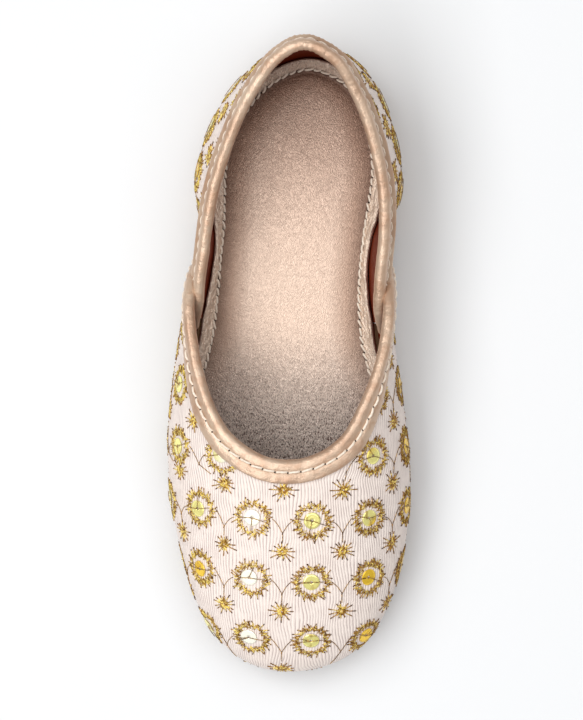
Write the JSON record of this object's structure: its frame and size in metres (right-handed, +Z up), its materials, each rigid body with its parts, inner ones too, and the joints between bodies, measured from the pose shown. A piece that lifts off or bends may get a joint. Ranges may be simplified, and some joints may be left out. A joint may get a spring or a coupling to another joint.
{
  "type": "mojari shoe",
  "caption": "Child's slip-on mojari flat for the right foot: embroidered fabric upper open at the throat, leather bindings, padded insole and a sole with a low heel.",
  "frame": {"origin": "on the floor, under the middle of the shoe's box", "axes": "+Z up, +Y towards the heel, -Y towards the toe, +X towards the side of the big toe"},
  "size_m": [0.0668, 0.1716, 0.052],
  "materials": {
    "fabric": "matte",
    "binding_leather": "satin",
    "footbed": "satin",
    "sole_rubber": "matte"
  },
  "bodies": {
    "root": {"outsole": "sole_rubber", "insole": "footbed", "upper_vamp": "fabric", "upper_quarter": "fabric", "vamp_binding": "binding_leather", "quarter_binding": "binding_leather"}
  },
  "joints": []
}
